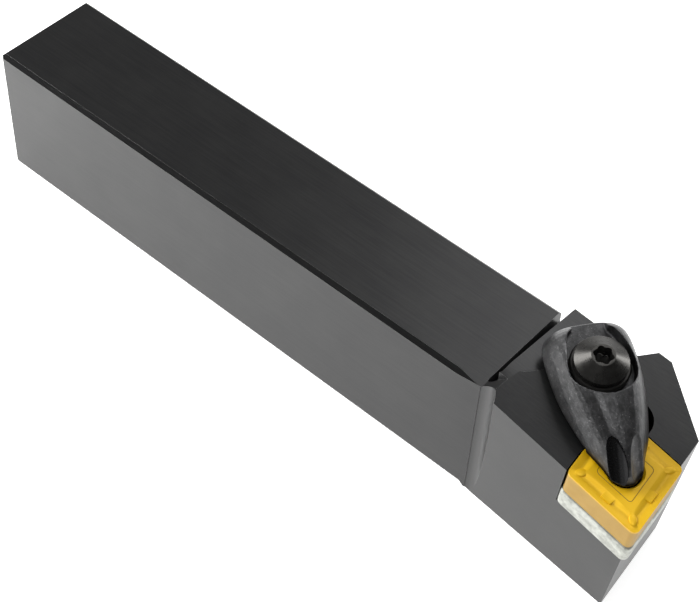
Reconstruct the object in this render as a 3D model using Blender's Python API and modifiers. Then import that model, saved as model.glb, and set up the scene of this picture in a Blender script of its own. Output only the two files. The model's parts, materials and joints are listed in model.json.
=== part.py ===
"""Turning tool holder, left hand, with an 80 degree insert held by a forged top clamp.

Frame: metres, origin at the centre of the shank's rear face, +X along the shank to the cutting
end, +Z up, the locating side at +Y and the cutting tip towards -Y.
"""

import bpy
import bmesh
from math import acos, cos, pi, radians, sin, tan
from mathutils import Matrix, Vector

# Shank and overall sizes
shank_width = 0.025
shank_height = 0.032
overall_length = 0.170
head_length = 0.03935
functional_width = 0.032
shank_chamfer = 0.0009
near_top_runout = 0.005
base_runout = 0.001
chamfer_stop = 0.0004

# Cutting geometry: the side edge runs back at edge_lead to the shank, the front edge crosses it
# at the insert's angle, and the seat slopes down to the tip both ways
edge_lead = radians(5)
seat_tilt_back = radians(6)
seat_tilt_side = radians(6)

# Insert
insert_circle = 0.015875
insert_angle = radians(80)
insert_thickness = 0.00635
insert_hole = 0.00635
insert_nose = 0.0012
insert_hole_chamfer = 0.0004
edge_land = 0.00025
edge_drop = 0.00008
chip_groove_depth = 0.00035
chip_groove_width = 0.0025

# Shim and its screw
shim_thickness = 0.00476
shim_inset = -0.0002
shim_chamfer = 0.0005
shim_hole = 0.0048
shim_screw_radius = 0.0020
shim_screw_head = 0.0035
shim_screw_cone = 0.0018
shim_screw_length = 0.0120
shim_socket_radius = 0.0012
shim_socket_depth = 0.0014

# Clearance between pieces that rest on each other
seat_gap = 0.0003

# Head
side_relief_inset = 0.00035
front_relief_inset = 0.0007
head_top_drop = 0.00015
shoulder_radius = 0.0058
shoulder_step = 0.00012
corner_cut_back = 0.0154
corner_cut_angle = radians(37)
undercut_width = 0.0026
undercut_depth = 0.0040
undercut_end = 0.0014
corner_ramp_start = 0.00035
corner_ramp_slope = radians(46)
corner_ramp_width = 0.0018
pocket_relief_radius = 0.0042
pocket_relief_back = 0.0031
pocket_relief_out = 0.0006
pocket_relief_sink = 0.0003

# Step that the clamp's heel stands on
heel_step_turn = radians(7.5)
heel_step_behind_screw = 0.00405
heel_step_depth = 0.0047
heel_step_slope = radians(6.6)
heel_step_cove = 0.0012

# Clamp
clamp_turn = radians(9.9)
clamp_skew = radians(-1.5)
clamp_reach = 0.01805
clamp_underside = 0.0010
clamp_bearing = 0.0046
nose_pin_gap = 0.00045
nose_pin_depth = 0.0022
nose_pin_round = 0.0006
nose_flat_radius = 0.0048
nose_flat_lean = radians(24)
nose_flat_side = 0.0023
nose_flat_top = (0.0046, 0.0073)
nose_flat_foot = (-0.0029, 0.0004)
counterbore_floor = 0.0048
counterbore_front_radius = 0.0062
counterbore_front_reach = -0.0009
counterbore_back_radius = 0.0050
counterbore_back_reach = 0.0040
back_notch_width = 0.0064
back_notch_shift = -0.0006
heel_width = 0.0110
heel_length = 0.0047

# Clamp screw, washer and spring
screw_radius = 0.0025
screw_neck_radius = 0.00215
screw_neck_length = 0.0095
screw_thread_length = 0.0110
screw_hole_gap = 0.0003
screw_head_radius = 0.0050
screw_head_rim = 0.0010
screw_head_cone = 0.0018
screw_flat_radius = 0.0022
socket_radius = 0.00192
socket_lobe = 0.00016
socket_depth = 0.0027
washer_radius = 0.0056
washer_thickness = 0.00145
spring_wire = 0.0006
spring_radius = 0.0032
spring_turns = 5
spring_bore_radius = 0.0037
spring_bore_depth = 0.0070

# The clamp's form from its nose to its back: distance behind the insert's hole, half width at
# the underside, height of the crown over the insert, and how square the section is
clamp_form = (
    (-0.0036, 0.0012, 0.0008, 2.6),
    (-0.0031, 0.0022, 0.0022, 2.6),
    (-0.0016, 0.0033, 0.0040, 2.6),
    (0.0011, 0.0044, 0.0058, 2.6),
    (0.0048, 0.0062, 0.0073, 3.0),
    (0.0105, 0.0078, 0.0089, 3.6),
    (0.0150, 0.0086, 0.0092, 4.4),
    (0.0205, 0.0089, 0.0088, 5.0),
    (0.0240, 0.0088, 0.0078, 5.0),
    (0.0262, 0.0082, 0.0062, 4.4),
    (0.0277, 0.0068, 0.0042, 3.8),
    (0.0285, 0.0054, 0.0022, 3.4),
)
clamp_draft = 0.28

round_steps = 32
corner_steps = 5
sharp_edge = radians(30)
reach = 0.080

shank_end = overall_length - head_length
half_width = shank_width / 2
base_z = -shank_height / 2
top_z = shank_height / 2
tip = Vector((overall_length, half_width - functional_width, top_z))
edge_length = insert_circle / sin(insert_angle)
heel_step_reach = clamp_reach + heel_step_behind_screw
heel_back = heel_step_reach + heel_length
sharp = insert_angle / 2


def seat_frame():
    """Frame at the insert's hole, on its top face: X away from the tip along its long diagonal."""
    normal = Vector((tan(seat_tilt_back), -tan(seat_tilt_side), 1)).normalized()
    heading = pi - edge_lead - sharp
    flat = Vector((cos(heading), sin(heading), 0))
    flat.z = -normal.dot(flat) / normal.z
    back = flat.normalized()
    centre = tip + back * edge_length * cos(sharp)
    turn = Matrix((back, normal.cross(back), normal)).transposed().to_4x4()
    return Matrix.Translation(centre) @ turn


seat = seat_frame()
seat_normal = seat.to_3x3() @ Vector((0, 0, 1))
clamp_axis = seat @ Matrix.Rotation(clamp_turn, 4, 'Z') @ Matrix.Translation((clamp_reach, 0, 0))
clamp_place = clamp_axis @ Matrix.Rotation(clamp_skew, 4, 'Z')
step_frame = seat @ Matrix.Rotation(heel_step_turn, 4, 'Z')


def make_collection(name):
    group = bpy.data.collections.new(name)
    bpy.context.scene.collection.children.link(group)
    return group


for leftover in list(bpy.data.objects):
    bpy.data.objects.remove(leftover)
parts = make_collection("turning_tool_holder")
cutters = make_collection("cutters")


def place_in_scene(item, place, cutter):
    """Put an object in its place and in the parts or the cutters collection."""
    item.matrix_world = place or Matrix.Identity(4)
    (cutters if cutter else parts).objects.link(item)
    if cutter:
        item.hide_render = True
        item.display_type = 'WIRE'
    return item


def add_mesh(name, shape, place=None, cutter=False):
    """Turn a bmesh into an object."""
    bmesh.ops.recalc_face_normals(shape, faces=shape.faces)
    mesh = bpy.data.meshes.new(name)
    shape.to_mesh(mesh)
    shape.free()
    return place_in_scene(bpy.data.objects.new(name, mesh), place, cutter)


def box(name, low, high, place=None):
    """A box between two corners of its own frame, for cutting or joining."""
    low = Vector(low)
    size = Vector(high) - low
    shape = bmesh.new()
    fit = Matrix.Translation(low + size / 2) @ Matrix.Diagonal((*size, 1))
    bmesh.ops.create_cube(shape, size=1, matrix=fit)
    return add_mesh(name, shape, place, cutter=True)


def cylinder(name, radius, low, high, centre=(0, 0), place=None):
    """An upright cylinder in its own frame, for cutting or joining."""
    shape = bmesh.new()
    fit = Matrix.Translation((centre[0], centre[1], (low + high) / 2))
    bmesh.ops.create_cone(shape, cap_ends=True, segments=round_steps, radius1=radius,
                          radius2=radius, depth=high - low, matrix=fit)
    return add_mesh(name, shape, place, cutter=True)


def plate(name, outline, low, high, place=None, cutter=True):
    """A flat outline, drawn as a curve and raised between two heights."""
    line = bpy.data.curves.new(name, 'CURVE')
    line.dimensions = '2D'
    line.fill_mode = 'BOTH'
    line.extrude = (high - low) / 2
    border = line.splines.new('POLY')
    border.points.add(len(outline) - 1)
    border.use_cyclic_u = True
    for point, (x, y) in zip(border.points, outline):
        point.co = (x, y, 0, 1)
    drawn = bpy.data.objects.new(name, line)
    middle = Matrix.Translation((0, 0, (low + high) / 2))
    drawn.matrix_world = (place or Matrix.Identity(4)) @ middle
    bpy.context.scene.collection.objects.link(drawn)
    bpy.context.view_layer.update()
    mesh = bpy.data.meshes.new_from_object(drawn.evaluated_get(
        bpy.context.evaluated_depsgraph_get()))
    where = drawn.matrix_world.copy()
    bpy.data.objects.remove(drawn)
    shape = bmesh.new()
    shape.from_mesh(mesh)
    bpy.data.meshes.remove(mesh)
    bmesh.ops.remove_doubles(shape, verts=shape.verts, dist=0.000001)
    bmesh.ops.dissolve_limit(shape, angle_limit=radians(1), verts=shape.verts, edges=shape.edges)
    return add_mesh(name, shape, where, cutter)


def loft(name, rings, place=None, cutter=False):
    """A solid through closed rings that have equally many points."""
    shape = bmesh.new()
    rows = [[shape.verts.new(point) for point in ring] for ring in rings]
    count = len(rows[0])
    shape.faces.new(rows[0])
    shape.faces.new(rows[-1])
    for lower, upper in zip(rows, rows[1:]):
        for index in range(count):
            following = (index + 1) % count
            shape.faces.new((lower[index], lower[following], upper[following], upper[index]))
    return add_mesh(name, shape, place, cutter)


def turned(name, profile, place, cutter=False):
    """A profile of (radius, height) points, from top to bottom, turned round its own Z."""
    mesh = bpy.data.meshes.new(name)
    points = [(radius, 0, height) for radius, height in profile]
    mesh.from_pydata(points, [(i, i + 1) for i in range(len(points) - 1)], [])
    item = place_in_scene(bpy.data.objects.new(name, mesh), place, cutter)
    spin = item.modifiers.new("turn", 'SCREW')
    spin.steps = round_steps
    spin.render_steps = round_steps
    spin.use_merge_vertices = True
    spin.merge_threshold = 0.000001
    return item


def combine(item, operation, others):
    for other in others:
        step = item.modifiers.new(other.name, 'BOOLEAN')
        step.object = other
        step.operation = operation
        step.solver = 'EXACT'


def cut(item, *tools):
    combine(item, 'DIFFERENCE', tools)


def join(item, *extras):
    combine(item, 'UNION', extras)


def soften(item, width, steps=3):
    """Round the sharp edges of a piece or a cutter."""
    rounding = item.modifiers.new("round", 'BEVEL')
    rounding.width = width
    rounding.segments = steps
    rounding.limit_method = 'ANGLE'
    rounding.angle_limit = radians(60)


def beyond(name, point, normal, along=(0, 0, 1)):
    """A cutter that takes everything on the far side of a plane."""
    normal = Vector(normal).normalized()
    side = Vector(along).cross(normal).normalized()
    turn = Matrix((side, normal.cross(side), normal)).transposed().to_4x4()
    return box(name, (-reach, -reach, 0), (reach, reach, reach), Matrix.Translation(point) @ turn)


def settle(item):
    """Make a piece's turning and cuts final, and shade it smooth between its sharp edges."""
    mesh = bpy.data.meshes.new_from_object(item.evaluated_get(
        bpy.context.evaluated_depsgraph_get()))
    item.modifiers.clear()
    item.data = mesh
    mesh.shade_smooth()
    mesh.set_sharp_from_angle(angle=sharp_edge)
    return item


def paint(item, colour, roughness, metallic):
    """Give a piece a material of its own."""
    finish = bpy.data.materials.new(item.name + "_finish")
    finish.use_nodes = True
    shader = finish.node_tree.nodes["Principled BSDF"]
    shader.inputs["Base Color"].default_value = (*colour, 1)
    shader.inputs["Roughness"].default_value = roughness
    shader.inputs["Metallic"].default_value = metallic
    item.data.materials.append(finish)
    return item


def rhombus(inset, radius):
    """The insert's outline, moved in by an inset, with rounded corners."""
    long_half = edge_length * cos(sharp) - inset / sin(sharp)
    short_half = edge_length * sin(sharp) - inset / cos(sharp)
    points = []
    for corner in range(4):
        half_corner = pi / 2 - sharp if corner % 2 else sharp
        far = short_half if corner % 2 else long_half
        centre = far - radius / sin(half_corner)
        heading = corner * pi / 2
        for step in range(corner_steps + 1):
            angle = heading + (pi / 2 - half_corner) * (2 * step / corner_steps - 1)
            points.append((centre * cos(heading) + radius * cos(angle),
                           centre * sin(heading) + radius * sin(angle)))
    return points


def make_insert():
    """The double-sided insert: a land at the edge, a chip groove and a raised seat face."""
    steps = (
        (0, insert_nose, -edge_drop),
        (edge_land, insert_nose, -edge_drop),
        (edge_land + 0.45 * chip_groove_width, insert_nose / 2, -chip_groove_depth),
        (edge_land + 0.65 * chip_groove_width, insert_nose / 2, -chip_groove_depth),
        (edge_land + chip_groove_width, insert_nose / 2, 0),
    )
    upper = [[(x, y, height) for x, y in rhombus(inset, radius)] for inset, radius, height in steps]
    lower = [[(x, y, -insert_thickness - z) for x, y, z in ring] for ring in upper]
    insert = loft("insert", upper[::-1] + lower, seat)
    hole = insert_hole / 2
    mouth = hole + insert_hole_chamfer
    bore = turned("insert_bore", (
        (0, seat_gap), (mouth, seat_gap), (mouth, 0), (hole, -insert_hole_chamfer),
        (hole, insert_hole_chamfer - insert_thickness), (mouth, -insert_thickness),
        (mouth, -insert_thickness - seat_gap), (0, -insert_thickness - seat_gap),
    ), seat, cutter=True)
    cut(insert, bore)
    return paint(settle(insert), (0.78, 0.52, 0.05), 0.3, 0.9)


shim_top = -insert_thickness - seat_gap
shim_bottom = shim_top - shim_thickness
pocket_floor = shim_bottom - seat_gap
shim_screw_top = shim_top - seat_gap


def make_shim():
    shim = plate("shim", rhombus(shim_inset, insert_nose), shim_bottom, shim_top, seat, cutter=False)
    soften(shim, shim_chamfer, 2)
    clearance = shim_hole / 2
    mouth = shim_screw_head + seat_gap
    slope = (mouth - clearance) / (shim_screw_head - shim_screw_radius) * shim_screw_cone
    bore = turned("shim_bore", (
        (0, shim_top + seat_gap), (mouth, shim_top + seat_gap), (mouth, shim_screw_top),
        (clearance, shim_screw_top - slope), (clearance, shim_bottom - seat_gap),
        (0, shim_bottom - seat_gap),
    ), seat, cutter=True)
    cut(shim, bore)
    return paint(settle(shim), (0.55, 0.56, 0.57), 0.45, 0.8)


def six_lobe(name, radius, low, high, place):
    """A six-lobe socket, its rim a circle with six waves."""
    steps = 48
    lobe = socket_lobe * radius / socket_radius
    outline = []
    for step in range(steps):
        angle = 2 * pi * step / steps
        size = radius - lobe + lobe * cos(6 * angle)
        outline.append((size * cos(angle), size * sin(angle)))
    return plate(name, outline, low, high, place)


def make_shim_screw():
    end = shim_screw_top - shim_screw_length
    screw = turned("shim_screw", (
        (0, shim_screw_top), (shim_screw_head, shim_screw_top),
        (shim_screw_radius, shim_screw_top - shim_screw_cone),
        (shim_screw_radius, end + 0.5 * shim_screw_radius),
        (0.6 * shim_screw_radius, end), (0, end),
    ), seat)
    cut(screw, six_lobe("shim_socket", shim_socket_radius, shim_screw_top - shim_socket_depth,
                        shim_screw_top + seat_gap, seat))
    return paint(settle(screw), (0.12, 0.12, 0.12), 0.45, 0.9)


def form_at(where, column):
    """A smooth curve through one column of the clamp's form."""
    last = len(clamp_form) - 2
    index = max(i for i in range(last + 1) if clamp_form[i][0] <= where)
    start, end = clamp_form[index], clamp_form[index + 1]
    before = clamp_form[max(index - 1, 0)]
    after = clamp_form[min(index + 2, last + 1)]
    span = end[0] - start[0]
    rise_in = (end[column] - before[column]) / (end[0] - before[0]) * span
    rise_out = (after[column] - start[column]) / (after[0] - start[0]) * span
    t = (where - start[0]) / span
    return ((2 * t**3 - 3 * t**2 + 1) * start[column] + (t**3 - 2 * t**2 + t) * rise_in
            + (3 * t**2 - 2 * t**3) * end[column] + (t**3 - t**2) * rise_out)


def clamp_ring(where):
    """One cross-section of the clamp: flat below, drafted sides and a crowned top."""
    width = form_at(where, 1)
    crown = form_at(where, 2) - seat_gap
    power = 2 / form_at(where, 3)
    steps = 16
    ring = []
    for step in range(steps + 1):
        angle = pi * step / steps
        up = sin(angle) ** power
        across = abs(cos(angle)) ** power * (1 - clamp_draft * up)
        if step > steps / 2:
            across = -across
        ring.append((where - clamp_reach, width * across, seat_gap + crown * up))
    return ring


def heel_floor(name, lift):
    """A cutter for all that lies under the step that the heel stands on, raised by a clearance."""
    slope_x = tan(seat_tilt_back)
    rise = slope_x * head_length + tan(seat_tilt_side) * functional_width
    point = (shank_end, half_width, top_z + rise - heel_step_depth + lift)
    return beyond(name, point, (-slope_x, -tan(heel_step_slope), -1), along=(1, 0, 0))


def counterbore_outline():
    """Plan of the hollow round the screw head: two circles and the lines that touch both."""
    span = counterbore_back_reach - counterbore_front_reach
    touch = acos((counterbore_front_radius - counterbore_back_radius) / span)
    steps = 14
    outline = []
    for centre, radius, start, sweep in (
            (counterbore_back_reach, counterbore_back_radius, -touch, 2 * touch),
            (counterbore_front_reach, counterbore_front_radius, touch, 2 * (pi - touch))):
        for step in range(steps + 1):
            angle = start + sweep * step / steps
            outline.append((centre + radius * cos(angle), radius * sin(angle)))
    return outline


def make_nose_flat(name, side):
    """A long round cutter that hollows one side of the clamp's nose, from its top to its foot."""
    top, foot = (Vector((x - clamp_reach, side * nose_flat_side, height))
                 for x, height in (nose_flat_top, nose_flat_foot))
    along = (foot - top).normalized()
    across = Vector((0, 1, 0))
    out = Matrix.Rotation(side * nose_flat_lean, 3, along) @ across.cross(along)
    turn = Matrix((out.cross(along), out, along)).transposed().to_4x4()
    middle = Matrix.Translation((top + foot) / 2 + out * nose_flat_radius)
    return cylinder(name, nose_flat_radius, -reach / 8, reach / 8, place=clamp_place @ middle @ turn)


def make_clamp():
    stations = 34
    front = clamp_form[0][0]
    back = clamp_form[-1][0]
    rings = [clamp_ring(front + (back - front) * step / stations) for step in range(stations + 1)]
    clamp = loft("clamp", rings, clamp_place)
    cut(clamp, make_nose_flat("clamp_near_flat", 1), make_nose_flat("clamp_far_flat", -1))
    cut(clamp, box("clamp_underside", (clamp_bearing - clamp_reach, -reach / 2, -reach / 2),
                   (reach / 2, reach / 2, clamp_underside), clamp_place))
    heel = box("clamp_heel", (heel_step_reach + seat_gap, -heel_width / 2, -2 * heel_step_depth),
               (heel_back, heel_width / 2, 2 * clamp_underside), step_frame)
    cut(heel, heel_floor("heel_floor", seat_gap))
    pin = cylinder("clamp_nose_pin", insert_hole / 2 - nose_pin_gap, -nose_pin_depth,
                   2 * seat_gap, (nose_pin_gap / 3, 0), seat)
    soften(pin, nose_pin_round)
    join(clamp, heel, pin)
    high = reach / 4
    pocket = plate("clamp_counterbore", counterbore_outline(), counterbore_floor, high, clamp_axis)
    notch_side = back_notch_width / 2
    notch = box("clamp_back_notch", (0, back_notch_shift - notch_side, counterbore_floor),
                (reach / 2, back_notch_shift + notch_side, high), clamp_axis)
    hole = cylinder("clamp_screw_hole", screw_radius + screw_hole_gap, -reach / 4, reach / 4,
                    place=clamp_axis)
    cut(clamp, pocket, notch, hole)
    return paint(settle(clamp), (0.075, 0.075, 0.077), 0.5, 0.75)


washer_bottom = counterbore_floor + seat_gap
screw_seat = washer_bottom + washer_thickness + seat_gap


def make_washer():
    top = washer_bottom + washer_thickness
    bore = screw_radius + screw_hole_gap
    lip = 0.2 * washer_thickness
    washer = turned("clamp_washer", (
        (bore, top), (washer_radius - lip, top), (washer_radius, top - lip),
        (washer_radius, washer_bottom + lip), (washer_radius - lip, washer_bottom),
        (bore, washer_bottom), (bore, top),
    ), clamp_axis)
    return paint(settle(washer), (0.2, 0.2, 0.2), 0.4, 0.9)


def make_clamp_screw():
    rim_top = screw_seat + screw_head_rim
    top = rim_top + screw_head_cone
    neck_end = screw_seat - screw_neck_length
    end = neck_end - screw_thread_length
    screw = turned("clamp_screw", (
        (0, top), (screw_flat_radius, top), (screw_head_radius, rim_top),
        (screw_head_radius, screw_seat),
        (screw_neck_radius, screw_seat), (screw_neck_radius, neck_end),
        (screw_radius, neck_end - (screw_radius - screw_neck_radius)),
        (screw_radius, end + 0.4 * screw_radius), (0.6 * screw_radius, end), (0, end),
    ), clamp_axis)
    cut(screw, six_lobe("clamp_socket", socket_radius, top - socket_depth, top + seat_gap,
                        clamp_axis))
    return paint(settle(screw), (0.17, 0.17, 0.16), 0.32, 0.9)


def make_spring():
    """The coil spring round the clamp screw, from the foot of its bore to the clamp."""
    low = seat_gap - spring_bore_depth + spring_wire / 2
    high = clamp_underside - seat_gap - spring_wire / 2
    per_turn = 14
    count = spring_turns * per_turn
    line = bpy.data.curves.new("clamp_spring", 'CURVE')
    line.dimensions = '3D'
    line.bevel_depth = spring_wire / 2
    line.bevel_resolution = 2
    line.use_fill_caps = True
    path = line.splines.new('POLY')
    path.points.add(count)
    for index, point in enumerate(path.points):
        angle = 2 * pi * index / per_turn
        height = low + (high - low) * index / count
        point.co = (spring_radius * cos(angle), spring_radius * sin(angle), height, 1)
    spring = place_in_scene(bpy.data.objects.new("clamp_spring", line), clamp_axis, False)
    return paint(spring, (0.3, 0.3, 0.3), 0.35, 0.95)


def make_chamfer(name, side_y, side_z, full_to, run_out):
    """A long three-sided cutter for one edge of the shank, rising out of it at its end."""
    outside = 2 * shank_chamfer
    rings = []
    for x, leg in ((-outside, shank_chamfer), (full_to, shank_chamfer),
                   (full_to + run_out * 1.1, -0.1 * shank_chamfer)):
        rings.append([
            (x, side_y * (half_width - leg - outside), side_z * (top_z + outside)),
            (x, side_y * (half_width + outside), side_z * (top_z - leg - outside)),
            (x, side_y * (half_width + outside), side_z * (top_z + outside)),
        ])
    return loft(name, rings, cutter=True)


def make_shank_chamfers():
    """Chamfers along the shank's edges, which run out at the head, and round its rear face."""
    near_full = shank_end - chamfer_stop - near_top_runout
    base_full = shank_end - chamfer_stop - base_runout
    leg = shank_chamfer
    return (
        make_chamfer("near_top_chamfer", -1, 1, near_full, near_top_runout),
        make_chamfer("far_top_chamfer", 1, 1, shank_end + undercut_width / 3, seat_gap),
        make_chamfer("near_base_chamfer", -1, -1, base_full, base_runout),
        make_chamfer("far_base_chamfer", 1, -1, base_full, base_runout),
        beyond("rear_top_chamfer", (leg, 0, top_z), (-1, 0, 1), along=(0, 1, 0)),
        beyond("rear_base_chamfer", (leg, 0, base_z), (-1, 0, -1), along=(0, 1, 0)),
        beyond("rear_near_chamfer", (leg, -half_width, 0), (-1, -1, 0)),
        beyond("rear_far_chamfer", (leg, half_width, 0), (-1, 1, 0)),
    )


def body_outline():
    """Plan of the bar, its head left long at the near side and the front for planes to trim."""
    near = shoulder_step - half_width
    centre_y = near - shoulder_radius
    steps = 12
    front = overall_length + reach / 10
    corner = overall_length - corner_cut_back
    outline = [(0, half_width), (0, -half_width), (shank_end, -half_width)]
    for step in range(steps + 1):
        angle = step / steps * pi / 2
        outline.append((shank_end + shoulder_radius * sin(angle),
                        centre_y + shoulder_radius * cos(angle)))
    outline += [
        (shank_end + shoulder_radius, near - reach / 3),
        (front, near - reach / 3),
        (front, half_width - (front - corner) * tan(corner_cut_angle)),
        (corner, half_width),
    ]
    return outline


def make_body():
    blank_top = top_z + reach / 5
    body = plate("tool_body", body_outline(), base_z, blank_top, cutter=False)

    along_side = seat.to_3x3() @ Vector((cos(sharp), sin(sharp), 0))
    along_front = seat.to_3x3() @ Vector((cos(sharp), -sin(sharp), 0))
    side_out = seat_normal.cross(along_side)
    front_out = along_front.cross(seat_normal)
    side = beyond("side_relief", tip - side_out * side_relief_inset, side_out)
    cut(side, box("side_relief_end", (0, -reach, -reach),
                  (shank_end + shoulder_radius / 6, reach, reach)))
    front = beyond("front_relief", tip - front_out * front_relief_inset, front_out)
    top = beyond("head_top", tip - seat_normal * head_top_drop, seat_normal, along=(1, 0, 0))

    step = box("heel_step", (heel_step_reach, -reach, -reach / 2), (reach, reach, reach / 2),
               step_frame)
    cut(step, heel_floor("heel_step_floor", 0))
    soften(step, heel_step_cove, 4)

    near_end = undercut_end - half_width
    undercut = box("undercut", (shank_end, near_end, top_z - undercut_depth),
                   (shank_end + undercut_width, reach, blank_top + seat_gap))
    soften(undercut, undercut_width / 2 - seat_gap / 2, 4)
    start = corner_ramp_start / 2
    slope = Matrix.Translation((shank_end + start, 0, top_z + start))
    slope = slope @ Matrix.Rotation(-corner_ramp_slope, 4, 'Y')
    ramp = box("corner_ramp", (0, -reach, 0), (reach, corner_ramp_width - half_width, reach), slope)
    shank_top = box("shank_top_cut", (-reach, -reach, top_z),
                    (shank_end + corner_ramp_start, reach, 2 * blank_top))
    cut(body, side, front, top, step, undercut, ramp, shank_top, *make_shank_chamfers())
    cut(body, make_pocket(), make_pocket_relief(), *make_screw_holes())
    return paint(settle(body), (0.06, 0.06, 0.062), 0.42, 0.7)


def make_pocket():
    """The insert's pocket: two walls behind it, open at the near side and the front."""
    corner = edge_length * cos(sharp) + seat_gap / sin(sharp)
    side = reach / 2
    outline = [
        (corner, 0),
        (corner - side * cos(sharp), side * sin(sharp)),
        (corner - 2 * side * cos(sharp), 0),
        (corner - side * cos(sharp), -side * sin(sharp)),
    ]
    return plate("insert_pocket", outline, pocket_floor, reach / 4, seat)


def make_pocket_relief():
    """The round relief at the pocket's inner corner, on its far wall."""
    along = Vector((-cos(sharp), -sin(sharp)))
    out = Vector((sin(sharp), -cos(sharp)))
    corner = Vector((edge_length * cos(sharp), 0))
    centre = corner + along * pocket_relief_back + out * pocket_relief_out
    return cylinder("pocket_relief", pocket_relief_radius, pocket_floor - pocket_relief_sink,
                    reach / 4, centre, seat)


def make_screw_holes():
    """Holes for the two screws, and the bore that the spring stands in."""
    foot = screw_seat - screw_neck_length - screw_thread_length - 2 * screw_radius
    clamp_hole = cylinder("clamp_thread_hole", screw_radius + screw_hole_gap, foot, reach / 4,
                          place=clamp_axis)
    bore = cylinder("spring_bore", spring_bore_radius, -spring_bore_depth, reach / 4,
                    place=clamp_axis)
    shim_foot = shim_screw_top - shim_screw_length - shim_screw_radius
    shim_hole_cut = cylinder("shim_thread_hole", shim_screw_radius + screw_hole_gap, shim_foot,
                             pocket_floor + seat_gap, place=seat)
    return clamp_hole, bore, shim_hole_cut


make_body()
make_shim()
make_shim_screw()
make_insert()
make_clamp()
make_washer()
make_clamp_screw()
make_spring()
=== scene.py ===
# %% [markdown]
# # Turning tool holder
# A turning tool holder carries a cutting insert on a lathe. This one has a rectangular shank, an
# offset head, a gold-coated carbide insert that lies on a carbide shim, and a forged clamp that
# one screw pulls down on it. The solid model already has every piece at its true size. Here each
# piece gets the fine shape and the finish that the eye expects: broken edges, a forging's rough
# skin, a chipbreaker, and blackened, turned and ground steel.

# %% Load the solid model
import bpy
import json
from math import cos, pi, radians, sin
from mathutils import Matrix, Vector


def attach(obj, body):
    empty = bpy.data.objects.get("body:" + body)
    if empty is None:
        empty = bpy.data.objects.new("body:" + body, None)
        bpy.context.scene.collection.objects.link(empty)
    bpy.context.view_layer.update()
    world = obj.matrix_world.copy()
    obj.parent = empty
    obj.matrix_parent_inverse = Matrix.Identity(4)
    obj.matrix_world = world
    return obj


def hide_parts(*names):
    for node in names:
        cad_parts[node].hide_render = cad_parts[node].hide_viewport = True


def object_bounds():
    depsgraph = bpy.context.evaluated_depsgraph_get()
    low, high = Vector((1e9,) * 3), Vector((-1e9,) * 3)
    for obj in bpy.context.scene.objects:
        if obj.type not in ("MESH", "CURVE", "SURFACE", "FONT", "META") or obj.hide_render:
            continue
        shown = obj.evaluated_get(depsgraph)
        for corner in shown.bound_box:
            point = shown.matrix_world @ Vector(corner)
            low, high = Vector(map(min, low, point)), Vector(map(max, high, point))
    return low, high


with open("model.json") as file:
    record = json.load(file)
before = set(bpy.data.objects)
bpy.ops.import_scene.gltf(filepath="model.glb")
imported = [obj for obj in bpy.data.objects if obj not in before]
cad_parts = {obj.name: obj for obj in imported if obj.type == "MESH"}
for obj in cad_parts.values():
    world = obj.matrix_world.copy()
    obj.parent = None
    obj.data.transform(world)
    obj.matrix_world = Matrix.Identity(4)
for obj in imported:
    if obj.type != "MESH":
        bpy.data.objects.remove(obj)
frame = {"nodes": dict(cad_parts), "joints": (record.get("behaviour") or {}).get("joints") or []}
mm = 0.001
cad_low, cad_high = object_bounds()
print("solid model:", [round((b - a) / mm, 1) for a, b in zip(cad_low, cad_high)], "mm")

# %% [markdown]
# ## Where things are
# The insert's seat leans down towards the cutting tip, and the clamp, the screw, the washer and
# the shim all stand square to it. So two frames are enough to place everything: one at the hole
# of the insert and one at the clamp screw. The joints in the record say where the screw's axis is.

# %% Frames of the insert and the clamp screw
turning = next(joint for joint in frame["joints"] if joint["name"] == "screw_turn")
seat_up = Vector(turning["axis"]).normalized()
screw_foot = Vector(turning["pos_m"])
insert_hole = Vector((0.16136314, -0.01086314, 0.01781554))  # centre of its upper rim
insert_heading = radians(135)  # from the cutting tip to the insert's hole
clamp_turn = radians(9.9)  # from that heading to the clamp


def seat_frame(origin, turn=0):
    """A frame square to the insert's seat, its X axis on the insert's long diagonal plus a turn."""
    flat = Vector((cos(insert_heading), sin(insert_heading), 0))
    flat.z = -seat_up.dot(flat) / seat_up.z
    along = flat.normalized()
    axes = Matrix((along, seat_up.cross(along), seat_up)).transposed().to_4x4()
    return Matrix.Translation(origin) @ axes @ Matrix.Rotation(turn, 4, 'Z')


insert_place = seat_frame(insert_hole)
screw_place = seat_frame(screw_foot, clamp_turn)
print("screw behind the insert's hole:", round((screw_foot - insert_hole).length / mm, 2), "mm")

# %% [markdown]
# ## Camera
# The photograph looks down on the tool from beyond its cutting end, with a long lens. The place
# and the aim come from the tool's own corners: the shank is a known box, so eight of its corners
# and the insert's edges fix the camera completely.

# %% Camera
bpy.ops.object.camera_add()
camera = bpy.context.object
camera.name = "camera"
# Directions of the picture's right and top side and of the way back to the camera.
right = Vector((0.75165709, 0.65812363, 0.04341537))
up = Vector((-0.52190255, 0.55324550, 0.64925892))
back = Vector((0.40327328, -0.51067866, 0.75932731))
aim = Matrix((right, up, back)).transposed().to_4x4()
camera.matrix_world = Matrix.Translation((0.22888526, -0.17669201, 0.25885900)) @ aim
camera.data.sensor_fit = 'HORIZONTAL'
camera.data.sensor_width = 36
camera.data.lens = 87.22
camera.data.clip_start = 0.01
bpy.context.scene.camera = camera
print("camera stands", round(camera.location.length / mm), "mm from the shank's rear face")

# %% [markdown]
# ## Helpers for modelling
# Operators act on whatever is selected, so every step starts from an empty selection. A solid of
# the model is a bag of loose triangles: a copy of it is welded, and its flat faces are put back
# together, before its edges can be broken.

# %% Helpers for modelling


def select_only(*items):
    """Select these objects and make the first one active."""
    bpy.ops.object.select_all(action='DESELECT')
    for item in items:
        item.select_set(True)
    bpy.context.view_layer.objects.active = items[0]


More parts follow.
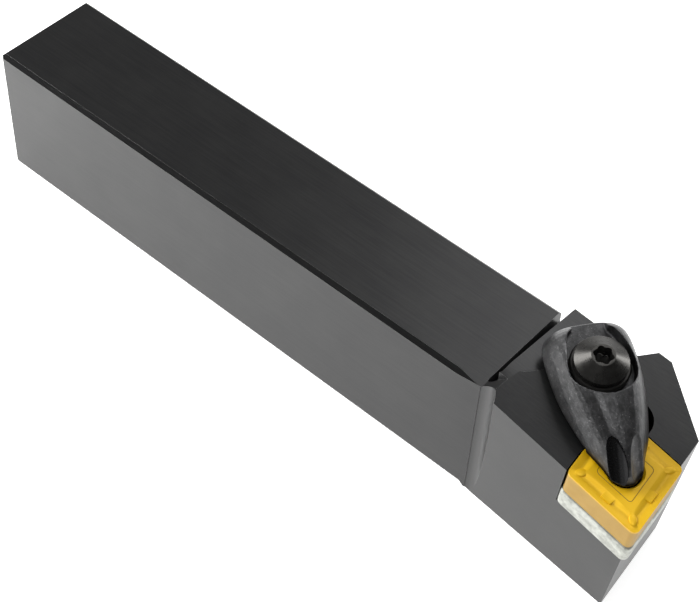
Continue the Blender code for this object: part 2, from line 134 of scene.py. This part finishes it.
def settle(item):
    """Bake an object's place into its mesh, so the object itself stays at the origin."""
    select_only(item)
    bpy.ops.object.transform_apply(location=True, rotation=True, scale=True)


def apply_modifiers(item):
    select_only(item)
    for modifier in list(item.modifiers):
        bpy.ops.object.modifier_apply(modifier=modifier.name)


def welded_copy(node, name):
    """A welded copy of a solid of the model, with its flat faces made whole."""
    item = frame["nodes"][node].copy()
    item.data = item.data.copy()
    item.name = name
    item.data.materials.clear()
    bpy.context.scene.collection.objects.link(item)
    select_only(item)
    item.parent = None
    bpy.ops.object.mode_set(mode='EDIT')
    bpy.ops.mesh.select_all(action='SELECT')
    bpy.ops.mesh.remove_doubles(threshold=0.002 * mm)
    bpy.ops.mesh.dissolve_limited(angle_limit=radians(0.3))
    bpy.ops.object.mode_set(mode='OBJECT')
    return item


def break_edges(item, width, sharper_than, slot=-1):
    """Round every edge that is sharper than an angle. A slot gives the bands another finish."""
    rounding = item.modifiers.new("broken edges", 'BEVEL')
    rounding.width = width
    rounding.segments = 2
    rounding.limit_method = 'ANGLE'
    rounding.angle_limit = radians(sharper_than)
    rounding.material = slot
    apply_modifiers(item)


def combine(item, tool, operation):
    """Join a tool to an item or cut it out, and remove the tool."""
    step = item.modifiers.new(operation.lower(), 'BOOLEAN')
    step.object = tool
    step.operation = operation
    step.solver = 'EXACT'
    apply_modifiers(item)
    bpy.data.objects.remove(tool)


def smooth(item, angle=35):
    """Shade smooth between sharp edges, and let large flat faces keep their own direction."""
    select_only(item)
    bpy.ops.object.shade_smooth_by_angle(angle=radians(angle))
    even = item.modifiers.new("even shading", 'WEIGHTED_NORMAL')
    even.mode = 'FACE_AREA'
    even.keep_sharp = True
    apply_modifiers(item)


def report(item):
    faces = len(item.data.polygons)
    size = [round(side / mm, 2) for side in item.dimensions]
    print(f"{item.name}: {faces} faces, {size} mm")


# %% [markdown]
# ## Helpers for finishes
# Colours are written as they look on a screen, as hex values, and turned to the linear values
# that light adds up in. One small function adds a shader node, sets it and links it.

# %% Helpers for finishes


def colour(code):
    """Turn a hex colour to linear red, green, blue and alpha."""
    shares = [int(code[i:i + 2], 16) / 255 for i in (1, 3, 5)]
    return (*[c / 12.92 if c <= 0.04045 else ((c + 0.055) / 1.055) ** 2.4 for c in shares], 1)


def add(tree, kind, settings=None, links=None):
    """Add a shader node, fill in its settings and link its inputs."""
    made = tree.nodes.new(kind)
    for key, value in (settings or {}).items():
        if isinstance(key, int) or key in made.inputs:
            made.inputs[key].default_value = value
        else:
            setattr(made, key, value)
    for key, source in (links or {}).items():
        tree.links.new(source, made.inputs[key])
    return made


def new_finish(name):
    """A new material with its shader and its object coordinates."""
    finish = bpy.data.materials.new(name)
    finish.use_nodes = True
    tree = finish.node_tree
    shader = tree.nodes["Principled BSDF"]
    place = add(tree, 'ShaderNodeTexCoord').outputs["Object"]
    return finish, tree, shader, place


def link_finish(tree, shader, tint, rough, bump, metallic):
    """Link what drives a finish to its shader."""
    tree.links.new(tint.outputs[2], shader.inputs["Base Color"])
    tree.links.new(rough.outputs["Result"], shader.inputs["Roughness"])
    tree.links.new(bump.outputs["Normal"], shader.inputs["Normal"])
    shader.inputs["Metallic"].default_value = metallic


def per_mm(length):
    """Scale of a pattern whose features are this many millimetres long."""
    return 1 / (length * mm)


def give(item, finish):
    item.data.materials.clear()
    item.data.materials.append(finish)


# %% [markdown]
# ## Blackened ground steel
# The body is hardened steel, milled and ground, then blackened in a hot salt bath and oiled. The
# black oxide still reflects as dark metal does, so it is metallic with a dark base, and the film of
# oil is a coat on top. Both reflect most where the surface is seen at a low angle, which is why
# the side of the real bar looks so much lighter than its top. Long thin streaks of noise give the
# grinding, and soft clouds the uneven oxide.

# %% Blackened ground steel


def blackened_ground_steel(name, base, lighter, roughness):
    finish, tree, shader, place = new_finish(name)
    # Grinding lines are 0.3 mm apart and run for some 12 mm along the shank.
    stretch = add(tree, 'ShaderNodeMapping', {"Scale": (per_mm(12), per_mm(0.3), per_mm(0.3))},
                  {"Vector": place})
    lines = add(tree, 'ShaderNodeTexNoise', {"Scale": 1, "Detail": 3, "Roughness": 0.6},
                {"Vector": stretch.outputs["Vector"]})
    # The oxide takes unevenly, in clouds about 9 mm wide with finer specks of 0.5 mm.
    clouds = add(tree, 'ShaderNodeTexNoise', {"Scale": per_mm(9), "Detail": 4}, {"Vector": place})
    specks = add(tree, 'ShaderNodeTexNoise', {"Scale": per_mm(0.5), "Detail": 2}, {"Vector": place})
    uneven = add(tree, 'ShaderNodeMath', {"operation": 'MULTIPLY_ADD', 1: 0.7},
                 {0: clouds.outputs["Fac"], 2: lines.outputs["Fac"]})
    share = add(tree, 'ShaderNodeMapRange', {"From Min": 0.55, "From Max": 1.1},
                {"Value": uneven.outputs["Value"]})
    tint = add(tree, 'ShaderNodeMix', {"data_type": 'RGBA', 6: colour(base), 7: colour(lighter)},
               {0: share.outputs["Result"]})
    rough = add(tree, 'ShaderNodeMapRange',
                {"To Min": roughness - 0.02, "To Max": roughness + 0.04},
                {"Value": lines.outputs["Fac"]})
    fine = add(tree, 'ShaderNodeMath', {"operation": 'MULTIPLY_ADD', 1: 0.5},
               {0: specks.outputs["Fac"], 2: lines.outputs["Fac"]})
    bump = add(tree, 'ShaderNodeBump', {"Strength": 0.05, "Distance": 0.00002},
               {"Height": fine.outputs["Value"]})
    link_finish(tree, shader, tint, rough, bump, 0.9)
    # The film of oil.
    shader.inputs["Coat Weight"].default_value = 0.2
    shader.inputs["Coat Roughness"].default_value = 0.2
    return finish


body_black = blackened_ground_steel("blackened_ground_steel", "#363637", "#3f3f3f", 0.34)
body_edge = blackened_ground_steel("blackened_steel_worn_edge", "#6e6e6e", "#8a8a8a", 0.32)
print("finishes:", body_black.name, body_edge.name)

# %% [markdown]
# ## Tool body
# The body is one piece of steel. Every edge that was milled or ground is broken with a file or in
# a tumbler, about a tenth of a millimetre wide, and these narrow bands catch the light. A welded
# copy of the solid gets them from a bevel, with a finish of their own, because the oxide is worn
# thin there.

# %% Tool body
body = welded_copy("tool_body", "tool_body_finished")
give(body, body_black)
body.data.materials.append(body_edge)
break_edges(body, 0.12 * mm, 28, slot=1)
smooth(body, 25)
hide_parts("tool_body")
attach(body, "holder")
report(body)

# %% [markdown]
# ## Ground carbide
# The shim is a plate of uncoated cemented carbide. Grinding leaves it pale grey and satin, and
# handling and coolant leave faint darker smears.

# %% Ground carbide shim


def ground_carbide():
    finish, tree, shader, place = new_finish("ground_carbide")
    # Smears 1.5 mm wide and grit marks of 0.2 mm.
    smears = add(tree, 'ShaderNodeTexNoise', {"Scale": per_mm(1.6), "Detail": 4, "Roughness": 0.6},
                 {"Vector": place})
    grit = add(tree, 'ShaderNodeTexNoise', {"Scale": per_mm(0.22), "Detail": 2}, {"Vector": place})
    share = add(tree, 'ShaderNodeMapRange', {"From Min": 0.38, "From Max": 0.72},
                {"Value": smears.outputs["Fac"]})
    tint = add(tree, 'ShaderNodeMix',
               {"data_type": 'RGBA', 6: colour("#ced0c8"), 7: colour("#94968e")},
               {0: share.outputs["Result"]})
    rough = add(tree, 'ShaderNodeMapRange', {"To Min": 0.32, "To Max": 0.55},
                {"Value": grit.outputs["Fac"]})
    bump = add(tree, 'ShaderNodeBump', {"Strength": 0.25, "Distance": 0.00003},
               {"Height": grit.outputs["Fac"]})
    link_finish(tree, shader, tint, rough, bump, 0.45)
    return finish


shim = welded_copy("shim", "shim_finished")
break_edges(shim, 0.12 * mm, 40)
smooth(shim)
give(shim, ground_carbide())
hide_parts("shim")
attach(shim, "holder")
report(shim)

# %% [markdown]
# ## Gold-coated carbide
# The insert is pressed and sintered carbide with a thin gold-coloured nitride coating. On its
# faces the coating is deep yellow. Its flanks get a paler, duller gold, a painted reflection of
# the pale floor they face. The height in the insert's own frame tells faces from flanks.

# %% Gold coating


def gold_coating():
    finish, tree, shader, place = new_finish("gold_nitride_coating")
    heights = add(tree, 'ShaderNodeVectorMath', {"operation": 'DOT_PRODUCT', 1: tuple(seat_up)},
                  {0: place})
    top = seat_up.dot(insert_hole)
    flank = add(tree, 'ShaderNodeMapRange',
                {"From Min": top - 0.30 * mm, "From Max": top - 0.75 * mm},
                {"Value": heights.outputs["Value"]})
    # The coating's grain is 0.15 mm, its faint clouds 2.5 mm.
    grain = add(tree, 'ShaderNodeTexNoise', {"Scale": per_mm(0.15), "Detail": 2}, {"Vector": place})
    clouds = add(tree, 'ShaderNodeTexNoise', {"Scale": per_mm(2.5), "Detail": 3}, {"Vector": place})
    yellow = add(tree, 'ShaderNodeMix',
                 {"data_type": 'RGBA', 6: colour("#e6b906"), 7: colour("#daa903")},
                 {0: clouds.outputs["Fac"]})
    # Paler, duller gold on the flanks: painted reflection of the pale floor.
    paler_flank_painted_reflection = add(tree, 'ShaderNodeMix',
               {"data_type": 'RGBA', 6: colour("#b59140"), 7: colour("#a58030")},
               {0: clouds.outputs["Fac"]})
    tint = add(tree, 'ShaderNodeMix', {"data_type": 'RGBA'},
               {0: flank.outputs["Result"], 6: yellow.outputs[2], 7: paler_flank_painted_reflection.outputs[2]})
    rough = add(tree, 'ShaderNodeMapRange', {"To Min": 0.36, "To Max": 0.48},
                {"Value": grain.outputs["Fac"]})
    bump = add(tree, 'ShaderNodeBump', {"Strength": 0.12, "Distance": 0.00002},
               {"Height": grain.outputs["Fac"]})
    link_finish(tree, shader, tint, rough, bump, 0.3)
    return finish


def painted_groove_shade():
    """Finish of the fine groove: a dark gold that is painted shade in the groove."""
    finish, tree, shader, place = new_finish("groove_with_painted_shade")
    groove_shade = add(tree, 'ShaderNodeTexNoise', {"Scale": per_mm(0.8), "Detail": 3}, {"Vector": place})
    tint = add(tree, 'ShaderNodeMix',
               {"data_type": 'RGBA', 6: colour("#6b4f0c"), 7: colour("#9a7410")},
               {0: groove_shade.outputs["Fac"]})
    tree.links.new(tint.outputs[2], shader.inputs["Base Color"])
    shader.inputs["Roughness"].default_value = 0.6
    return finish


gold = gold_coating()
# The fine groove's finish is painted shade.
groove_shade = painted_groove_shade()
print("finishes:", gold.name, groove_shade.name)

# %% [markdown]
# ## Chipbreaker
# The insert's faces are pressed with a relief that curls and breaks the chip: a block at the
# middle of each side stands out into the groove behind the edge, a rounded bump stands in each
# corner, and a fine line bounds the flat that the insert seats on. Each is a primitive, shaped in
# edit mode in the insert's own frame, moved to its place and joined to a copy of the solid or cut
# out of it. The blocks and bumps are copied for the four sides and corners of both faces.

# %% Insert with its chipbreaker
side_length = 15.875 * mm / sin(radians(80))
half_angle = radians(40)
thickness = 6.35 * mm
face_flip = Matrix.Translation((0, 0, -thickness)) @ Matrix.Rotation(pi, 4, 'X')


def face_bevel(item, width, steps):
    """Round all edges of a tool while it is still a plain primitive."""
    select_only(item)
    bpy.ops.object.mode_set(mode='EDIT')
    bpy.ops.mesh.select_all(action='SELECT')
    bpy.ops.mesh.bevel(offset=width, segments=steps, affect='EDGES')
    bpy.ops.object.mode_set(mode='OBJECT')


def put_copy(tool, place):
    """A copy of a tool with a mesh of its own, set in the insert's frame."""
    item = tool.copy()
    item.data = tool.data.copy()
    bpy.context.scene.collection.objects.link(item)
    item.matrix_world = insert_place @ place
    settle(item)
    return item


bpy.ops.object.select_all(action='DESELECT')
bpy.ops.mesh.primitive_cube_add(size=1)
block = bpy.context.object
block.scale = (2.3 * mm, 2.4 * mm, 0.7 * mm)
settle(block)
face_bevel(block, 0.18 * mm, 3)
bpy.ops.object.select_all(action='DESELECT')
bpy.ops.mesh.primitive_uv_sphere_add(segments=24, ring_count=12, radius=1)
corner_bump = bpy.context.object
corner_bump.scale = (1.25 * mm, 0.8 * mm, 0.30 * mm)
settle(corner_bump)
print("block:", len(block.data.polygons), "faces, bump:", len(corner_bump.data.polygons), "faces")

# %% Fine line round the insert's seat flat
inset = 3.95 * mm
bpy.ops.object.select_all(action='DESELECT')
bpy.ops.mesh.primitive_circle_add(vertices=4, radius=1)
line = bpy.context.object
line.scale = (side_length * cos(half_angle) - inset / sin(half_angle),
              side_length * sin(half_angle) - inset / cos(half_angle), 1)
settle(line)
bpy.ops.object.mode_set(mode='EDIT')
bpy.ops.mesh.select_all(action='SELECT')
bpy.ops.mesh.bevel(offset=0.7 * mm, segments=5, affect='VERTICES')
bpy.ops.object.mode_set(mode='OBJECT')
bpy.ops.object.convert(target='CURVE')
line = bpy.context.object
line.data.bevel_depth = 0.07 * mm
line.data.bevel_resolution = 1
bpy.ops.object.convert(target='MESH')
line = bpy.context.object
give(line, groove_shade)
print("line:", len(line.data.polygons), "faces")

# %% Join the chipbreaker to the insert
insert = welded_copy("insert", "insert_finished")
give(insert, gold)
insert.data.materials.append(groove_shade)
middle = side_length / 2
for face in (Matrix.Identity(4), face_flip):
    for turn in range(2):
        for side in (1, -1):
            heading = Matrix.Rotation(turn * pi, 4, 'Z')
            edge_middle = Vector((-middle * cos(half_angle), side * middle * sin(half_angle), 0))
            inward = Vector((sin(half_angle), -side * cos(half_angle), 0))
            place = Matrix.Translation(edge_middle + inward * 2.3 * mm - Vector((0, 0, 0.37 * mm)))
            place = face @ heading @ place @ Matrix.Rotation(side * half_angle, 4, 'Z')
            combine(insert, put_copy(block, place), 'UNION')
        for across, far, sink in ((0, side_length * cos(half_angle) - 3.1 * mm, 0.30),
                                  (1, side_length * sin(half_angle) - 2.6 * mm, 0.32)):
            place = Matrix.Rotation(turn * pi + across * pi / 2, 4, 'Z')
            place = face @ place @ Matrix.Translation((far, 0, -sink * mm))
            combine(insert, put_copy(corner_bump, place), 'UNION')
    combine(insert, put_copy(line, face), 'DIFFERENCE')
for tool in (block, corner_bump, line):
    bpy.data.objects.remove(tool)
smooth(insert, 40)
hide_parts("insert")
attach(insert, "holder")
report(insert)

# %% [markdown]
# ## Forged clamp
# The clamp is drop forged: hot steel pressed between two dies. Forging leaves no sharp edges, a
# drafted side wall and a slightly pitted skin. A fine grid of voxels wraps the solid, and a few
# rounds of smoothing turn its facets into soft forged forms. The flat on the near side of the nose
# is ground afterwards, so it gets a smoother finish of its own.

# %% Finishes of the forging and its ground flat


def forged_black_steel():
    finish, tree, shader, place = new_finish("forged_black_steel")
    # Scale pits are 0.5 mm wide, the lumps under them about 1.4 mm.
    pits = add(tree, 'ShaderNodeTexVoronoi', {"Scale": per_mm(0.55)}, {"Vector": place})
    lumps = add(tree, 'ShaderNodeTexNoise', {"Scale": per_mm(1.4), "Detail": 5, "Roughness": 0.62},
                {"Vector": place})
    skin = add(tree, 'ShaderNodeTexNoise', {"Scale": per_mm(0.28), "Detail": 3}, {"Vector": place})
    share = add(tree, 'ShaderNodeMapRange', {"From Min": 0.35, "From Max": 0.7},
                {"Value": lumps.outputs["Fac"]})
    tint = add(tree, 'ShaderNodeMix',
               {"data_type": 'RGBA', 6: colour("#3a3a3b"), 7: colour("#585859")},
               {0: share.outputs["Result"]})
    # Bare metal shows through the scale in thin broken flecks.
    flecks = add(tree, 'ShaderNodeMapRange', {"From Min": 0.62, "From Max": 0.73},
                 {"Value": skin.outputs["Fac"]})
    where = add(tree, 'ShaderNodeMath', {"operation": 'MULTIPLY'},
                {0: flecks.outputs["Result"], 1: share.outputs["Result"]})
    speckled = add(tree, 'ShaderNodeMix', {"data_type": 'RGBA', 7: colour("#a8a8a8")},
                   {0: where.outputs["Value"], 6: tint.outputs[2]})
    # A black band 0.7 mm high along the lower rim is painted shade: the line of shade under the
    # rim. The coat fades out there too.
    heights = add(tree, 'ShaderNodeVectorMath', {"operation": 'DOT_PRODUCT', 1: tuple(seat_up)},
                  {0: place})
    rim = seat_up.dot(insert_hole) + 1 * mm
    above_painted_rim_shade = add(tree, 'ShaderNodeMapRange',
                {"From Min": rim + 0.45 * mm, "From Max": rim + 0.95 * mm},
                {"Value": heights.outputs["Value"]})
    with_painted_rim_shade = add(tree, 'ShaderNodeMix', {"data_type": 'RGBA', 6: colour("#060606")},
               {0: above_painted_rim_shade.outputs["Result"], 7: speckled.outputs[2]})
    coat = add(tree, 'ShaderNodeMath', {"operation": 'MULTIPLY', 1: 0.35},
               {0: above_painted_rim_shade.outputs["Result"]})
    rough = add(tree, 'ShaderNodeMapRange', {"To Min": 0.30, "To Max": 0.50},
                {"Value": skin.outputs["Fac"]})
    height = add(tree, 'ShaderNodeMath', {"operation": 'MULTIPLY_ADD', 1: 0.6},
                 {0: pits.outputs["Distance"], 2: lumps.outputs["Fac"]})
    surface = add(tree, 'ShaderNodeMath', {"operation": 'MULTIPLY_ADD', 1: 0.5},
                  {0: skin.outputs["Fac"], 2: height.outputs["Value"]})
    bump = add(tree, 'ShaderNodeBump', {"Strength": 0.45, "Distance": 0.0001},
               {"Height": surface.outputs["Value"]})
    link_finish(tree, shader, with_painted_rim_shade, rough, bump, 0.9)
    tree.links.new(coat.outputs["Value"], shader.inputs["Coat Weight"])
    shader.inputs["Coat Roughness"].default_value = 0.4
    return finish


def ground_nose_steel():
    """Finish of the flat that is ground on the nose: dark and smooth, with fine scratches."""
    finish, tree, shader, place = new_finish("ground_nose_steel")
    scratches = add(tree, 'ShaderNodeTexNoise', {"Scale": per_mm(0.3), "Detail": 3},
                    {"Vector": place})
    tint = add(tree, 'ShaderNodeMix',
               {"data_type": 'RGBA', 6: colour("#202021"), 7: colour("#2c2c2d")},
               {0: scratches.outputs["Fac"]})
    rough = add(tree, 'ShaderNodeMapRange', {"To Min": 0.2, "To Max": 0.32},
                {"Value": scratches.outputs["Fac"]})
    tree.links.new(tint.outputs[2], shader.inputs["Base Color"])
    tree.links.new(rough.outputs["Result"], shader.inputs["Roughness"])
    shader.inputs["Metallic"].default_value = 0.9
    return finish


forging = forged_black_steel()
ground_nose = ground_nose_steel()
print("finishes:", forging.name, ground_nose.name)

# %% Clamp wrapped in fine voxels, in its own frame
clamp_skew = radians(-1.5)  # the clamp sits a little askew on its screw, as in the photograph
clamp_place = screw_place @ Matrix.Rotation(clamp_skew, 4, 'Z')
nose = clamp_place.inverted() @ insert_hole
clamp = welded_copy("clamp", "clamp_finished")
clamp.data.transform(clamp_place.inverted())
wrap = clamp.modifiers.new("wrap", 'REMESH')
wrap.mode = 'VOXEL'
wrap.voxel_size = 0.15 * mm
apply_modifiers(clamp)
report(clamp)

# %% [markdown]
# ## Lower rim of the clamp
# The lower rim of the forging is rounded off, so a black line of shade runs under it. The vertices
# of the underside are gathered by their height, at the nose first and then along both sides, and
# drawn in. Proportional editing carries the wall above them along softly.

# %% Draw the lower rim in


def draw_in(item, chosen, centre, factors, softness):
    """Scale the chosen vertices towards a centre, with a soft falloff round them."""
    select_only(item)
    for part in (item.data.polygons, item.data.edges, item.data.vertices):
        part.foreach_set("select", [False] * len(part))
    for vertex in item.data.vertices:
        vertex.select = chosen(vertex.co)
    count = sum(vertex.select for vertex in item.data.vertices)
    bpy.ops.object.mode_set(mode='EDIT')
    bpy.ops.transform.resize(value=factors, center_override=centre, use_proportional_edit=True,
                             proportional_edit_falloff='SMOOTH', proportional_size=softness,
                             use_proportional_connected=True)
    bpy.ops.object.mode_set(mode='OBJECT')
    print(item.name, "drew in", count, "vertices")


def at_nose_rim(point):
    return 0 < point.z < 0.42 * mm and (point - nose).xy.length < 8 * mm


def at_side_rim(point):
    low = 0.85 * mm < point.z < 1.15 * mm
    return low and abs(point.y) > 4.8 * mm and (point - nose).x > 4.7 * mm


draw_in(clamp, at_nose_rim, tuple(nose), (0.86, 0.86, 1), 0.8 * mm)
draw_in(clamp, at_side_rim, (0, 0, 1 * mm), (1, 0.94, 1), 0.5 * mm)

# %% Smooth the forging and give the near flat of its nose its ground finish
soften = clamp.modifiers.new("soften", 'SMOOTH')
soften.factor = 0.5
soften.iterations = 3
apply_modifiers(clamp)
give(clamp, forging)
clamp.data.materials.append(ground_nose)
flat_side = 2.3 * mm
flat_top = Vector((nose.x + 4.6 * mm, flat_side, 7.3 * mm))
flat_foot = Vector((nose.x - 2.9 * mm, flat_side, 0.4 * mm))
flat_lean = radians(24)
wheel_radius = 4.8 * mm  # the flat is a little hollow, as a grinding wheel leaves it
along = (flat_foot - flat_top).normalized()
out = Matrix.Rotation(flat_lean, 3, along) @ Vector((0, 1, 0)).cross(along)
wheel = (flat_top + flat_foot) / 2 + out * wheel_radius
ground = 0
for face in clamp.data.polygons:
    offset = face.center - wheel
    away = (offset - along * offset.dot(along)).length
    on_flat = abs(away - wheel_radius) < 0.06 * mm and face.normal.dot(out) > 0.8
    if on_flat and face.center.z > 0.5 * mm:
        face.material_index = 1
        ground += 1
print("ground faces on the nose:", ground)
clamp.matrix_world = clamp_place
settle(clamp)
select_only(clamp)
bpy.ops.object.shade_smooth()
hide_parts("clamp")
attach(clamp, "clamp_body")
report(clamp)

# %% [markdown]
# ## Turned steel
# The clamp screw and its washer are turned on a lathe and lightly blackened, so fine rings run
# round them and sweep the light into two fans across the head.

# %% Turned steel


def turned_steel(name, base, lighter, roughness):
    finish, tree, shader, place = new_finish(name)
    # Distance from the screw's axis, in the screw's own frame, drives the turning rings.
    away = screw_place.inverted()
    turned = add(tree, 'ShaderNodeMapping',
                 {"Location": tuple(away.translation), "Rotation": tuple(away.to_euler())},
                 {"Vector": place})
    rings = add(tree, 'ShaderNodeTexWave',
                {"wave_type": 'RINGS', "rings_direction": 'Z', "Scale": per_mm(0.22) / 20,
                 "Distortion": 0.4, "Detail": 1},
                {"Vector": turned.outputs["Vector"]})
    smears = add(tree, 'ShaderNodeTexNoise', {"Scale": per_mm(1.2), "Detail": 3}, {"Vector": place})
    tint = add(tree, 'ShaderNodeMix', {"data_type": 'RGBA', 6: colour(base), 7: colour(lighter)},
               {0: smears.outputs["Fac"]})
    rough = add(tree, 'ShaderNodeMapRange',
                {"To Min": roughness - 0.05, "To Max": roughness + 0.08},
                {"Value": smears.outputs["Fac"]})
    bump = add(tree, 'ShaderNodeBump', {"Strength": 0.2, "Distance": 0.00002},
               {"Height": rings.outputs["Fac"]})
    link_finish(tree, shader, tint, rough, bump, 0.9)
    return finish


screw_finish = turned_steel("turned_blackened_steel", "#42413f", "#52514f", 0.27)
washer_finish = turned_steel("washer_blackened_steel", "#3c3b39", "#4a4948", 0.36)
print("finishes:", screw_finish.name, washer_finish.name)

# %% Clamp screw and washer
screw = welded_copy("clamp_screw", "clamp_screw_finished")
break_edges(screw, 0.08 * mm, 25)
smooth(screw, 22)
give(screw, screw_finish)
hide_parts("clamp_screw")
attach(screw, "screw_body")
report(screw)

washer = welded_copy("clamp_washer", "clamp_washer_finished")
smooth(washer)
give(washer, washer_finish)
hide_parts("clamp_washer")
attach(washer, "clamp_body")
report(washer)

# %% [markdown]
# ## Shim screw and spring
# These two solids have the right shape already, so they stay and only get a finish. The screw is
# the same turned steel. The spring is hard-drawn wire, brighter and smoother, with fine die lines.

# %% Shim screw and spring
wire_finish = turned_steel("drawn_spring_wire", "#85858a", "#9c9ca0", 0.28)
give(frame["nodes"]["shim_screw"], screw_finish)
give(frame["nodes"]["clamp_spring"], wire_finish)
print("kept solids:", screw_finish.name, "and", wire_finish.name)

# %% [markdown]
# ## Floor and light
# The photograph has a pure white ground. The floor glows a little for the camera and in
# reflections, so it is white there and still keeps the tool's soft shadow. The room above is dim
# for reflections, dimmest on the camera's side: dark metal shows mostly what it mirrors, and this
# is what turns the top of the tool almost black while its side mirrors the bright floor.

# %% Floor
bpy.ops.object.select_all(action='DESELECT')
bpy.ops.mesh.primitive_plane_add(size=8, location=(0.08, 0, cad_low[2] - 0.1 * mm))
floor = bpy.context.object
floor.name = "floor"
floor_finish, tree, shader, place = new_finish("white_paper")
fibres = add(tree, 'ShaderNodeTexNoise', {"Scale": per_mm(3), "Detail": 3}, {"Vector": place})
paper = add(tree, 'ShaderNodeMix',
            {"data_type": 'RGBA', 6: colour("#f5f5f4"), 7: colour("#f1f1f0")},
            {0: fibres.outputs["Fac"]})
tree.links.new(paper.outputs[2], shader.inputs["Base Color"])
shader.inputs["Roughness"].default_value = 0.9
shader.inputs["Specular IOR Level"].default_value = 0.1
path = add(tree, 'ShaderNodeLightPath')
mirror = add(tree, 'ShaderNodeMath', {"operation": 'MULTIPLY', 1: 0.7},
             {0: path.outputs["Is Glossy Ray"]})
seen = add(tree, 'ShaderNodeMath', {"operation": 'MAXIMUM'},
           {0: path.outputs["Is Camera Ray"], 1: mirror.outputs["Value"]})
glow = add(tree, 'ShaderNodeMath', {"operation": 'MULTIPLY', 1: 0.65}, {0: seen.outputs["Value"]})
tree.links.new(glow.outputs["Value"], shader.inputs["Emission Strength"])
shader.inputs["Emission Color"].default_value = (1, 1, 1, 1)
give(floor, floor_finish)
print("floor at", round(floor.location.z / mm, 1), "mm")

# %% Room
world = bpy.data.worlds.new("studio")
bpy.context.scene.world = world
world.use_nodes = True
tree = world.node_tree
sky = add(tree, 'ShaderNodeTexCoord')
toward = add(tree, 'ShaderNodeSeparateXYZ', {}, {0: sky.outputs["Generated"]})
far_side = add(tree, 'ShaderNodeVectorMath', {"operation": 'DOT_PRODUCT', 1: (-0.4, 1, -0.9)},
               {0: sky.outputs["Generated"]})
wall = add(tree, 'ShaderNodeMapRange', {"From Min": -0.5, "From Max": 0.95},
           {"Value": far_side.outputs["Value"]})
fade = add(tree, 'ShaderNodeMath', {"operation": 'POWER', 1: 2}, {0: wall.outputs["Result"]})
back_wall = add(tree, 'ShaderNodeMath', {"operation": 'MULTIPLY_ADD', 1: 0.85, 2: 0.02},
                {0: fade.outputs["Value"]})
horizon = add(tree, 'ShaderNodeMapRange', {"From Min": 0.1, "From Max": 0.0},
              {"Value": toward.outputs["Z"]})
mirrored = add(tree, 'ShaderNodeMath', {"operation": 'MAXIMUM'},
               {0: back_wall.outputs["Value"], 1: horizon.outputs["Result"]})
path = add(tree, 'ShaderNodeLightPath')
room = add(tree, 'ShaderNodeMix', {2: 0.66},
           {0: path.outputs["Is Glossy Ray"], 3: mirrored.outputs["Value"]})
seen = add(tree, 'ShaderNodeMath', {"operation": 'MAXIMUM'},
           {0: path.outputs["Is Camera Ray"], 1: path.outputs["Is Transmission Ray"]})
strength = add(tree, 'ShaderNodeMix', {3: 1.0},
               {0: seen.outputs["Value"], 2: room.outputs[0]})
background = tree.nodes["Background"]
background.inputs["Color"].default_value = (1, 1, 1, 1)
tree.links.new(strength.outputs[0], background.inputs["Strength"])

# %% Lamps


def softbox(name, place, target, size, watts):
    bpy.ops.object.light_add(type='AREA', location=place)
    lamp = bpy.context.object
    lamp.name = name
    lamp.data.shape = 'DISK'
    lamp.data.size = size
    lamp.data.energy = watts
    lamp.rotation_euler = (Vector(target) - Vector(place)).to_track_quat('-Z', 'Y').to_euler()
    return lamp


def around(azimuth, elevation, distance):
    """A place round the tool's head, by compass angle and height."""
    flat = distance * cos(radians(elevation))
    return (0.14 + flat * cos(radians(azimuth)), flat * sin(radians(azimuth)),
            distance * sin(radians(elevation)))


head_middle = (0.13, 0, 0)
clamp_middle = (0.14, 0, 0.02)
softbox("key_softbox", around(190, 37, 1.1), head_middle, 0.55, 5.0)
softbox("top_softbox", around(102, 51, 1.1), head_middle, 0.65, 2.1)
# Two lamps show only as reflections: one over the clamp's crown, one low behind the tool, which
# makes the second fan of light on the screw's head.
crown_lamp = softbox("crown_softbox", around(-60, 76, 1.0), clamp_middle, 0.4, 1.9)
crown_lamp.visible_diffuse = False
fan_lamp = softbox("fan_softbox", around(66, 16, 1.0), clamp_middle, 0.28, 1.5)
fan_lamp.visible_diffuse = False
# A small lamp whitens the floor beside the shank's back, which the near side mirrors. It would
# leave a glint of its own on the clamp, so reflections don't show it.
floor_lamp = softbox("floor_softbox", (-0.16, -0.2, 0.2), (0, -0.05, -0.016), 0.2, 1.4)
floor_lamp.visible_glossy = False

# %% Colour view
bpy.context.scene.view_settings.view_transform = 'Standard'
